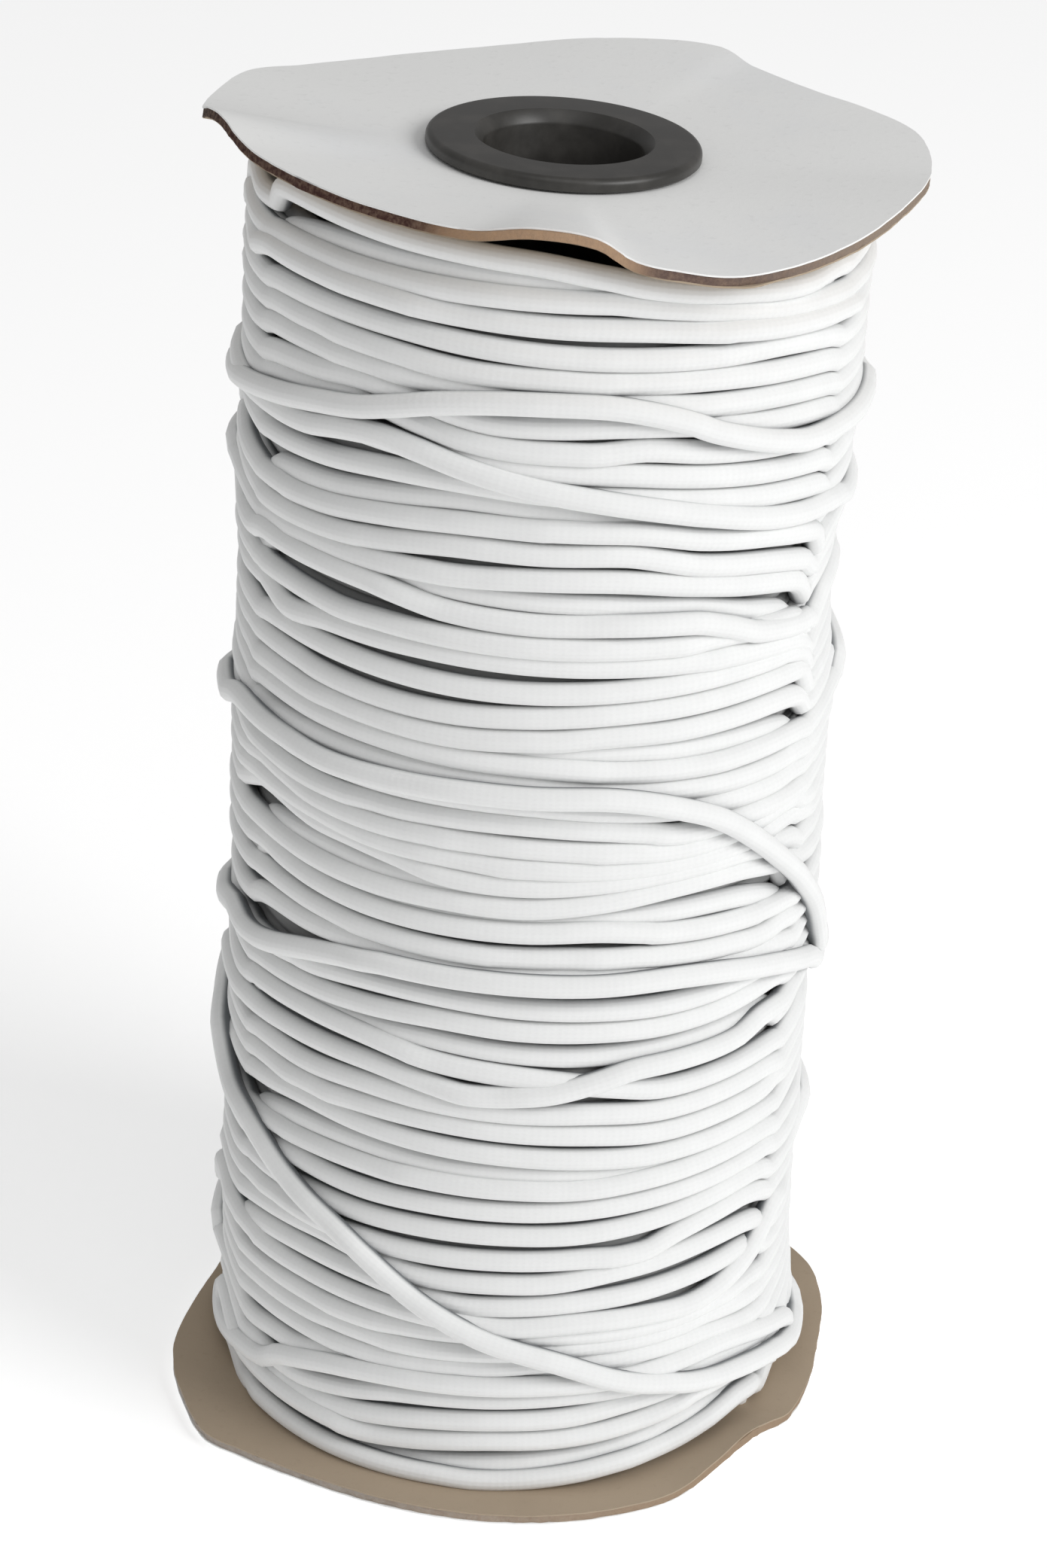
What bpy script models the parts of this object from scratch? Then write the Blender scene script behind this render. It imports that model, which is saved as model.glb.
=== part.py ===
"""Spool of white round elastic cord: a lipped black plastic core tube, the lipped cap
that closes it, two die-cut card flanges with bent rims, and the wound cord with its
main crossing strands.

Metres, +Z up. The spool stands on the lower lip of its core, and the origin is the
middle of that lip. Angles round the spool are in degrees from the front, which is -Y,
and grow towards +X.
"""
import bpy
import bmesh
from bisect import bisect_right
from math import atan2, cos, degrees, hypot, radians, sin, tan
from mathutils import Matrix, Vector

MM = 0.001

# Driving sizes of the spool, whose height is to the middle of the leaning cap's face
SPOOL_HEIGHT = 181.0 * MM
CORD_RADIUS = 1.525 * MM
WOUND_RADIUS = 39.4 * MM
CARD_THICKNESS = 1.5 * MM
PIECE_GAP = 0.3 * MM

# Core: a long lipped tube, and a lipped cap with a short spigot that leans a little
BORE_RADIUS = 10.0 * MM
BORE_CHAMFER = 1.3 * MM
TUBE_RADIUS = 12.5 * MM
LIP_RADIUS = 17.2 * MM
LIP_THICKNESS = 1.7 * MM
LIP_ROUND = 0.9 * MM
SPIGOT_RADIUS = 11.8 * MM
SPIGOT_LENGTH = 12.0 * MM
CAP_LEAN = 2.9
CAP_LEANS_TOWARDS = 147.0
CORE_STEPS = 48

# Flanges, whose rims start to bend at these radii and steepen by these powers
CARD_HOLE_RADIUS = TUBE_RADIUS + PIECE_GAP
TOP_BEND_RADIUS = 18.5 * MM
TOP_BEND_POWER = 1.3
BOTTOM_BEND_RADIUS = 30.0 * MM
BOTTOM_BEND_POWER = 1.5
CARD_STEPS = 64
CARD_RINGS = (0.0, 0.2, 0.42, 0.62, 0.8, 0.92, 1.0)

# Wound cord
WOUND_STEPS = 60
WOUND_ROWS = 34
END_RINGS = (0.0, 0.35, 0.65, 0.85)
END_CLEARANCE = 0.5 * MM
END_ROUND = 1.2 * MM
STRAND_STEP = 5.0
STRAND_BEVEL_RESOLUTION = 2
SINK_ANGLE = 14.0
SINK_DEPTH = 3.6 * MM

# Rim of the upper flange: its reach from the axis, and its rise above the flat card
TOP_RIM = (
    # angle, reach in mm, rise in mm
    (-165, 42.1, -0.7),
    (-143, 42.0, -0.6),
    (-128, 43.7, 0.1),
    (-118, 46.0, 0.9),
    (-103, 45.9, 1.1),
    (-94, 45.2, 2.2),
    (-86, 43.9, 4.4),
    (-77, 42.7, 5.7),
    (-64, 42.0, 5.1),
    (-48, 41.6, 5.1),
    (-30, 42.0, 5.0),
    (-14, 43.0, 5.1),
    (-4, 43.2, 6.2),
    (6, 43.0, 5.2),
    (12, 43.3, 2.5),
    (19, 44.0, 1.3),
    (27, 45.0, 0.4),
    (38, 44.9, 0.3),
    (50, 44.6, 0.7),
    (67, 44.4, 1.3),
    (78, 44.7, 0.9),
    (90, 45.6, 0.1),
    (107, 46.6, 0.1),
    (118, 45.0, 0.0),
    (132, 42.8, -0.1),
    (147, 44.2, -0.1),
    (155, 46.8, 0.5),
    (173, 45.0, 0.1),
)

# Rim of the lower flange
BOTTOM_RIM = (
    # angle, reach in mm, rise in mm
    (-165, 45.2, 0.0),
    (-135, 43.6, 0.5),
    (-112, 41.4, 1.4),
    (-98, 41.6, 1.9),
    (-88, 43.8, 0.8),
    (-77, 46.7, -0.5),
    (-63, 48.0, -1.2),
    (-54, 48.6, -1.4),
    (-47, 46.9, -1.2),
    (-34, 45.0, -0.8),
    (-18, 45.0, 0.0),
    (2, 45.0, -0.1),
    (22, 45.0, -0.4),
    (34, 45.0, -0.3),
    (43, 44.5, 1.4),
    (52, 44.0, 2.4),
    (59, 44.0, 1.2),
    (66, 44.7, -0.2),
    (78, 45.0, -0.2),
    (88, 45.4, 1.0),
    (97, 46.4, 2.2),
    (106, 46.6, 3.0),
    (116, 46.0, 2.2),
    (135, 45.0, 0.6),
    (165, 44.8, 0.0),
)

# Broad hollows and swellings of the wound form, by where they are and how far they reach
SWELLINGS = (
    # angle, height in mm, half width in degrees, half height in mm, depth in mm
    (80, 126, 42, 17, -2.0),
    (100, 12, 60, 9, 1.3),
    (-60, 176, 80, 6, -0.9),
    (-75, 100, 40, 9, 0.5),
    (-70, 32, 45, 14, 0.6),
    (160, 90, 60, 14, -1.0),
    (-140, 60, 45, 12, 0.8),
    (175, 150, 50, 12, 0.7),
    (20, 95, 60, 10, -0.4),
)

# Main crossing strands: how far each stands out of the winding, then its route
STRANDS = {
    # name: (stand-out in mm, (angle, height in mm), ...)
    "high_wave": (1.3, (
        (-88, 150.5), (-60, 151.8), (-42, 155.6), (-28, 159.4), (-12, 162.2), (6, 162.6),
        (17, 161.2), (28, 157.8), (40, 154.2), (58, 151.6), (95, 150.0), (140, 151.0),
    )),
    "high_slope": (1.1, (
        (-75, 150.6), (-45, 153.2), (-30, 154.8), (-14, 153.0), (10, 150.0), (30, 146.8),
        (50, 143.6), (75, 141.0), (110, 139.5),
    )),
    "upper_drift": (1.0, (
        (-70, 135.2), (-35, 135.4), (-10, 133.8), (18, 133.0), (32, 131.6), (48, 128.4),
        (66, 127.2), (100, 129.0),
    )),
    "long_fall": (2.0, (
        (-105, 103.0), (-80, 105.5), (-62, 107.8), (-30, 108.8), (5, 109.4), (21, 108.4),
        (37, 103.6), (55, 93.2), (66, 86.0), (77, 77.0), (88, 69.5), (110, 63.5),
        (160, 61.0), (215, 62.0), (250, 60.5), (270, 56.5), (282, 52.0), (290, 48.8),
        (304, 46.2), (329, 39.2), (344, 33.0), (356, 28.4), (371, 24.6), (384, 20.2),
        (399, 16.9), (416, 12.8), (440, 8.5),
    )),
    "middle_hoop": (1.2, (
        (-125, 70.0), (-96, 71.0), (-78, 74.4), (-58, 79.8), (-36, 82.8), (0, 82.4),
        (26, 82.4), (44, 79.8), (62, 75.8), (80, 69.5), (105, 66.5), (150, 68.5),
    )),
    "low_hump": (0.8, (
        (-45, 66.6), (-15, 66.2), (2, 65.4), (14, 67.4), (26, 69.4), (50, 70.2), (80, 71.5),
    )),
    "foot_turn": (0.9, (
        (-80, 13.5), (-58, 10.0), (-40, 8.6), (-20, 9.6), (5, 11.2), (25, 12.8), (45, 13.6),
    )),
    "back_rise": (1.3, (
        (110, 112.0), (135, 116.0), (165, 124.0), (195, 132.0), (225, 136.0), (255, 137.0),
    )),
    "back_slope": (1.2, (
        (105, 44.0), (140, 40.5), (175, 33.0), (210, 25.5), (245, 21.0), (270, 20.0),
    )),
}

WHITE_CORD = ((0.86, 0.87, 0.87, 1.0), 0.75)
WHITE_CARD = ((0.82, 0.81, 0.79, 1.0), 0.6)
BLACK_PLASTIC = ((0.03, 0.03, 0.028, 1.0), 0.38)


def clear_scene():
    for thing in list(bpy.data.objects):
        bpy.data.objects.remove(thing, do_unlink=True)


def new_collection(name):
    collection = bpy.data.collections.new(name)
    bpy.context.scene.collection.children.link(collection)
    return collection


def new_material(name, finish):
    colour, roughness = finish
    material = bpy.data.materials.new(name)
    material.use_nodes = True
    shader = material.node_tree.nodes["Principled BSDF"]
    shader.inputs["Base Color"].default_value = colour
    shader.inputs["Roughness"].default_value = roughness
    shader.inputs["Metallic"].default_value = 0.0
    return material


def add_object(name, data, collection, material=None):
    thing = bpy.data.objects.new(name, data)
    collection.objects.link(thing)
    if material:
        data.materials.append(material)
    return thing


def smooth_path(points, at):
    """Value at `at` of a smooth curve through (at, value) points in rising order."""
    places = [point[0] for point in points]
    last = len(points) - 2
    i = min(max(bisect_right(places, at) - 1, 0), last)
    here, there = points[i], points[i + 1]
    before = points[max(i - 1, 0)]
    after = points[min(i + 2, last + 1)]
    span = there[0] - here[0]
    slope_here = (there[1] - before[1]) / (there[0] - before[0])
    slope_there = (after[1] - here[1]) / (after[0] - here[0])
    t = (at - here[0]) / span
    return (
        here[1] * (1 + 2 * t) * (1 - t) ** 2
        + span * slope_here * t * (1 - t) ** 2
        + there[1] * t * t * (3 - 2 * t)
        + span * slope_there * t * t * (t - 1)
    )


def round_value(table, column, angle):
    """Smooth value of one column of a rim table at an angle from -180 to 180."""
    points = [(row[0], row[column]) for row in table]
    before = [(place - 360, value) for place, value in points[-3:]]
    after = [(place + 360, value) for place, value in points[:3]]
    return smooth_path(before + points + after, angle)


def front_angle(x, y):
    return degrees(atan2(x, -y))


def place(radius, angle, height):
    turn = radians(angle)
    return radius * sin(turn), -radius * cos(turn), height


class Flange:
    """A card disc: its upper face, rim table, bend, and the lean of its middle."""

    def __init__(self, upper_face, rim, bend_radius, bend_power, lean=0.0, towards=0.0):
        self.upper_face = upper_face
        self.rim = rim
        self.bend_radius = bend_radius
        self.bend_power = bend_power
        self.slope = tan(radians(lean))
        self.towards = towards

    def reach(self, angle):
        return round_value(self.rim, 1, angle) * MM

    def height(self, angle, radius):
        """Height of the upper face at this angle and radius."""
        flat = min(radius, self.bend_radius)
        leaning = -self.slope * flat * cos(radians(angle - self.towards))
        bend = (radius - self.bend_radius) / (self.reach(angle) - self.bend_radius)
        bend = min(max(bend, 0.0), 1.0)
        rise = round_value(self.rim, 2, angle) * MM
        return self.upper_face + leaning + (rise - leaning) * bend**self.bend_power


LOWER_FLANGE = Flange(
    LIP_THICKNESS + PIECE_GAP + CARD_THICKNESS,
    BOTTOM_RIM, BOTTOM_BEND_RADIUS, BOTTOM_BEND_POWER,
)
UPPER_FLANGE = Flange(
    SPOOL_HEIGHT - LIP_THICKNESS - PIECE_GAP,
    TOP_RIM, TOP_BEND_RADIUS, TOP_BEND_POWER, CAP_LEAN, CAP_LEANS_TOWARDS,
)


def turned_mesh(name, profile, steps, closed):
    """Mesh turned from (radius, height) points, which run down the outer side."""
    scratch = new_collection("turning")
    outline = bpy.data.meshes.new(name)
    edges = [(i, i + 1) for i in range(len(profile) - 1)]
    if closed:
        edges.append((len(profile) - 1, 0))
    outline.from_pydata([(radius, 0.0, height) for radius, height in profile], edges, [])
    blank = add_object(name + "_turning", outline, scratch)
    screw = blank.modifiers.new("turn", "SCREW")
    screw.steps = steps
    screw.render_steps = steps
    screw.use_merge_vertices = True
    screw.merge_threshold = 0.00001
    bpy.context.view_layer.update()
    graph = bpy.context.evaluated_depsgraph_get()
    mesh = bpy.data.meshes.new_from_object(blank.evaluated_get(graph))
    mesh.name = name
    bpy.data.objects.remove(blank, do_unlink=True)
    bpy.data.meshes.remove(outline)
    bpy.data.collections.remove(scratch)
    return mesh


def rounded_lip():
    """Lip profile as (radius, depth below its face), from the bore edge to its back."""
    points = [(BORE_RADIUS + BORE_CHAMFER, 0.0)]
    for angle in (90, 60, 30, 0):
        points.append((
            LIP_RADIUS - LIP_ROUND + LIP_ROUND * cos(radians(angle)),
            LIP_ROUND * (1.0 - sin(radians(angle))),
        ))
    points.append((LIP_RADIUS, LIP_THICKNESS))
    return points


def core_profile(neck_radius, neck_end):
    """Whole section of a lipped tube, as (radius, depth below the face of its lip)."""
    return rounded_lip() + [
        (neck_radius, LIP_THICKNESS),
        (neck_radius, neck_end),
        (BORE_RADIUS, neck_end),
        (BORE_RADIUS, BORE_CHAMFER),
    ]


def add_core_piece(name, profile, collection, material):
    mesh = turned_mesh(name, profile, CORE_STEPS, closed=True)
    mesh.shade_smooth()
    mesh.set_sharp_from_angle(angle=radians(35))
    return add_object(name, mesh, collection, material)


def make_core_tube(name, collection, material):
    """The tube that the spool stands on, up to just below the cap's spigot."""
    spigot_end = SPOOL_HEIGHT - LIP_THICKNESS - SPIGOT_LENGTH
    lowest = spigot_end - SPIGOT_RADIUS * sin(radians(CAP_LEAN))
    depths = core_profile(TUBE_RADIUS, lowest - PIECE_GAP)
    profile = [(radius, depth) for radius, depth in reversed(depths)]
    return add_core_piece(name, profile, collection, material)


def make_core_cap(name, collection, material):
    """The lipped cap, which leans about the middle of its spigot."""
    depths = core_profile(SPIGOT_RADIUS, LIP_THICKNESS + SPIGOT_LENGTH)
    profile = [(radius, SPOOL_HEIGHT - depth) for radius, depth in depths]
    cap = add_core_piece(name, profile, collection, material)
    pivot = Vector((0.0, 0.0, SPOOL_HEIGHT))
    lean_axis = Vector(place(1.0, CAP_LEANS_TOWARDS + 90.0, 0.0))
    lean = Matrix.Rotation(radians(CAP_LEAN), 4, lean_axis)
    cap.data.transform(Matrix.Translation(pivot) @ lean @ Matrix.Translation(-pivot))
    return cap


def make_flange(name, flange, collection, material):
    """A card disc turned flat, drawn out to its rim table and given its thickness."""
    flat_reach = 2 * CARD_HOLE_RADIUS
    profile = [(CARD_HOLE_RADIUS + ring * (flat_reach - CARD_HOLE_RADIUS), 0.0)
               for ring in CARD_RINGS]
    mesh = turned_mesh(name, profile, CARD_STEPS, closed=False)
    for vertex in mesh.vertices:
        x, y, _ = vertex.co
        angle = front_angle(x, y)
        ring = (hypot(x, y) - CARD_HOLE_RADIUS) / (flat_reach - CARD_HOLE_RADIUS)
        radius = CARD_HOLE_RADIUS + ring * (flange.reach(angle) - CARD_HOLE_RADIUS)
        vertex.co = place(radius, angle, flange.height(angle, radius))
    thing = add_object(name, mesh, collection, material)
    thickness = thing.modifiers.new("card", "SOLIDIFY")
    thickness.thickness = CARD_THICKNESS
    thickness.offset = -1.0 if mesh.polygons[0].normal.z > 0 else 1.0
    thickness.use_quality_normals = True
    return thing


def swelling(angle, height):
    """How far the winding stands out of its mean radius at this place."""
    total = 0.0
    for centre, middle, wide, tall, depth in SWELLINGS:
        turn = (angle - centre + 180) % 360 - 180
        fall = (turn / wide) ** 2 + ((height / MM - middle) / tall) ** 2
        total += depth * MM / (1 + fall) ** 2
    return total


def wound_radius(angle, height):
    return WOUND_RADIUS + swelling(angle, height)


def wound_ends(angle, radius):
    """Lowest and highest height of the winding between the two cards."""
    low = LOWER_FLANGE.height(angle, radius) + PIECE_GAP
    high = UPPER_FLANGE.height(angle, radius) - CARD_THICKNESS - PIECE_GAP
    outward = (radius - CARD_HOLE_RADIUS) / (WOUND_RADIUS - CARD_HOLE_RADIUS)
    return low, high - outward * END_CLEARANCE


def make_wound_form(name, collection, material):
    """The winding without its crossing strands: a thick ring as uneven as the turns."""
    inner = CARD_HOLE_RADIUS
    top, low = 1.0, 0.0
    flat = WOUND_RADIUS - inner
    rim = [(inner + ring * flat, top) for ring in END_RINGS]
    side = [(inner + flat, top - (top - low) * row / WOUND_ROWS)
            for row in range(WOUND_ROWS + 1)]
    foot = [(radius, low) for radius, _ in reversed(rim)]
    mesh = turned_mesh(name, rim + side + foot, WOUND_STEPS, closed=True)
    for vertex in mesh.vertices:
        x, y, share = vertex.co
        angle = front_angle(x, y)
        radius = hypot(x, y)
        on_side = radius > WOUND_RADIUS - 0.01 * MM
        low_end, high_end = wound_ends(angle, radius)
        height = low_end + share * (high_end - low_end)
        if on_side:
            edge = min(height - low_end, high_end - height)
            tuck = max(0.0, 1.0 - edge / END_ROUND)
            radius = wound_radius(angle, height) - END_ROUND * tuck * tuck
        vertex.co = place(radius, angle, height)
    return add_object(name, mesh, collection, material)


def strand_points(stand_out, route):
    """Centre line of a strand, with both of its ends sunk into the winding."""
    start, end = route[0][0], route[-1][0]
    count = round((end - start) / STRAND_STEP)
    points = []
    for i in range(count + 1):
        angle = start + (end - start) * i / count
        height = smooth_path(route, angle) * MM
        sink = max(0.0, 1.0 - min(angle - start, end - angle) / SINK_ANGLE)
        radius = wound_radius(angle, height) + stand_out * MM - CORD_RADIUS
        points.append(place(radius - SINK_DEPTH * sink**1.5, angle, height))
    return points


def make_strand(name, stand_out, route, collection):
    """One crossing strand as a closed tube mesh."""
    curve = bpy.data.curves.new(name, "CURVE")
    curve.dimensions = "3D"
    curve.bevel_depth = CORD_RADIUS
    curve.bevel_resolution = STRAND_BEVEL_RESOLUTION
    curve.use_fill_caps = True
    points = strand_points(stand_out, route)
    spline = curve.splines.new("POLY")
    spline.points.add(len(points) - 1)
    for knot, point in zip(spline.points, points):
        knot.co = (*point, 1.0)
    drawn = add_object(name + "_line", curve, collection)
    bpy.context.view_layer.update()
    graph = bpy.context.evaluated_depsgraph_get()
    mesh = bpy.data.meshes.new_from_object(drawn.evaluated_get(graph))
    bpy.data.objects.remove(drawn, do_unlink=True)
    shape = bmesh.new()
    shape.from_mesh(mesh)
    bmesh.ops.remove_doubles(shape, verts=shape.verts, dist=0.00001)
    bmesh.ops.recalc_face_normals(shape, faces=shape.faces)
    shape.to_mesh(mesh)
    shape.free()
    strand = add_object(name, mesh, collection)
    strand.hide_render = True
    strand.display_type = "WIRE"
    return strand


def make_winding(name, collection, joiners, material):
    """The wound form with every crossing strand fused to it."""
    winding = make_wound_form(name, collection, material)
    for strand_name, (stand_out, route) in STRANDS.items():
        strand = make_strand(strand_name, stand_out, route, joiners)
        join = winding.modifiers.new(strand_name, "BOOLEAN")
        join.operation = "UNION"
        join.solver = "EXACT"
        join.object = strand
    return winding


def main():
    clear_scene()
    spool = new_collection("elastic_cord_spool")
    joiners = new_collection("joiners")
    cord = new_material("white_cord", WHITE_CORD)
    card = new_material("white_card", WHITE_CARD)
    plastic = new_material("black_plastic", BLACK_PLASTIC)
    make_core_tube("core_tube", spool, plastic)
    make_core_cap("core_cap", spool, plastic)
    make_flange("flange_bottom", LOWER_FLANGE, spool, card)
    make_flange("flange_top", UPPER_FLANGE, spool, card)
    make_winding("winding", spool, joiners, cord)


main()
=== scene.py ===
"""Looks of a spool of white braided elastic cord: the cord laid turn by turn over its
winding, two card flanges with worn rims, a lipped black plastic core, and the stage.

Millimetres in the tables and sizes, metres in the meshes, +Z up. Angles round the spool
are in degrees from the front, which is -Y, and grow towards +X.
"""
from bisect import bisect_right
from math import atan2, cos, degrees, hypot, pi, radians, sin, tan

import bpy
import numpy as np
from mathutils import Matrix, Vector, noise


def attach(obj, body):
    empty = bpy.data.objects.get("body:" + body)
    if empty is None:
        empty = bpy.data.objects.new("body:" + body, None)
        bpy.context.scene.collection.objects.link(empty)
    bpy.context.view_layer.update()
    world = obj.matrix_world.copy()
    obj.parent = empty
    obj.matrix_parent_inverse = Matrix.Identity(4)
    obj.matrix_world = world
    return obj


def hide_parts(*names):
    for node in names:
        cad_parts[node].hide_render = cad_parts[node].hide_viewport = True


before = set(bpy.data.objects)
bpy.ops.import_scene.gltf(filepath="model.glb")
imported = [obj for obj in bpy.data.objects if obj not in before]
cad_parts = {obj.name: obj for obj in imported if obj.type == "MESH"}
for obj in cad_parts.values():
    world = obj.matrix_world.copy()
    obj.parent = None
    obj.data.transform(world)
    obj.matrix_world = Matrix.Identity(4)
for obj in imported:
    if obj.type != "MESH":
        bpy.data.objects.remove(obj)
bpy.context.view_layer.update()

bl_info = {
    "name": "Elastic cord spool",
    "version": (1, 0, 0),
    "blender": (4, 5, 0),
    "location": "3D View > Sidebar > Spool",
    "description": "Builds a spool of braided elastic cord and a plain stage for it",
    "category": "Add Mesh",
}

MM = 0.001
SEED = 7304

# The same sizes as the solids, in mm
SPOOL_HEIGHT = 181.0
WOUND_RADIUS = 39.4
CARD_THICKNESS = 1.5
PIECE_GAP = 0.3
BORE_RADIUS = 10.0
BORE_CHAMFER = 1.3
TUBE_RADIUS = 12.5
LIP_RADIUS = 17.2
LIP_THICKNESS = 1.7
LIP_ROUND = 0.9
SPIGOT_RADIUS = 11.8
SPIGOT_LENGTH = 12.0
CAP_LEAN = 2.9
CAP_LEANS_TOWARDS = 147.0
CARD_HOLE_RADIUS = TUBE_RADIUS + PIECE_GAP
TOP_BEND_RADIUS = 18.5
TOP_BEND_POWER = 1.3
BOTTOM_BEND_RADIUS = 30.0
BOTTOM_BEND_POWER = 1.5

# Camera, in mm: where it stands and the ways its right, top and back sides point
CAMERA_PLACE = (-0.693, -516.55, 365.25)
CAMERA_RIGHT = (0.99851, 0.02569, 0.04822)
CAMERA_UP = (-0.05464, 0.46944, 0.88127)
CAMERA_BACK = (0.0, -0.88259, 0.47014)
LENS = 100.8

# Rim of the upper flange: its reach from the axis, and its rise above the flat card
TOP_RIM = (
    # angle, reach in mm, rise in mm
    (-165, 42.1, -0.7),
    (-143, 42.0, -0.6),
    (-128, 43.7, 0.1),
    (-118, 46.0, 0.9),
    (-103, 45.9, 1.1),
    (-94, 45.2, 2.2),
    (-86, 43.9, 4.4),
    (-77, 42.7, 5.7),
    (-64, 42.0, 5.1),
    (-48, 41.6, 5.1),
    (-30, 42.0, 5.0),
    (-14, 43.0, 5.1),
    (-4, 43.2, 6.2),
    (6, 43.0, 5.2),
    (12, 43.3, 2.5),
    (19, 44.0, 1.3),
    (27, 45.0, 0.4),
    (38, 44.9, 0.3),
    (50, 44.6, 0.7),
    (67, 44.4, 1.3),
    (78, 44.7, 0.9),
    (90, 45.6, 0.1),
    (107, 46.6, 0.1),
    (118, 45.0, 0.0),
    (132, 42.8, -0.1),
    (147, 44.2, -0.1),
    (155, 46.8, 0.5),
    (173, 45.0, 0.1),
)

# Rim of the lower flange
BOTTOM_RIM = (
    # angle, reach in mm, rise in mm
    (-165, 45.2, 0.0),
    (-135, 43.6, 0.5),
    (-112, 41.4, 1.4),
    (-98, 41.6, 1.9),
    (-88, 43.8, 0.8),
    (-77, 46.7, -0.5),
    (-63, 48.0, -1.2),
    (-54, 48.6, -1.4),
    (-47, 46.9, -1.2),
    (-34, 45.0, -0.8),
    (-18, 45.0, 0.0),
    (2, 45.0, -0.1),
    (22, 45.0, -0.4),
    (34, 45.0, -0.3),
    (43, 44.5, 1.4),
    (52, 44.0, 2.4),
    (59, 44.0, 1.2),
    (66, 44.7, -0.2),
    (78, 45.0, -0.2),
    (88, 45.4, 1.0),
    (97, 46.4, 2.2),
    (106, 46.6, 3.0),
    (116, 46.0, 2.2),
    (135, 45.0, 0.6),
    (165, 44.8, 0.0),
)

# Broad hollows and swellings of the winding, by where they are and how far they reach
SWELLINGS = (
    # angle, height in mm, half width in degrees, half height in mm, depth in mm
    (80, 126, 42, 17, -2.0),
    (100, 12, 60, 9, 1.3),
    (-60, 176, 80, 6, -0.9),
    (-75, 100, 40, 9, 0.5),
    (-70, 32, 45, 14, 0.6),
    (160, 90, 60, 14, -1.0),
    (-140, 60, 45, 12, 0.8),
    (175, 150, 50, 12, 0.7),
    (20, 95, 60, 10, -0.4),
)

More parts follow.
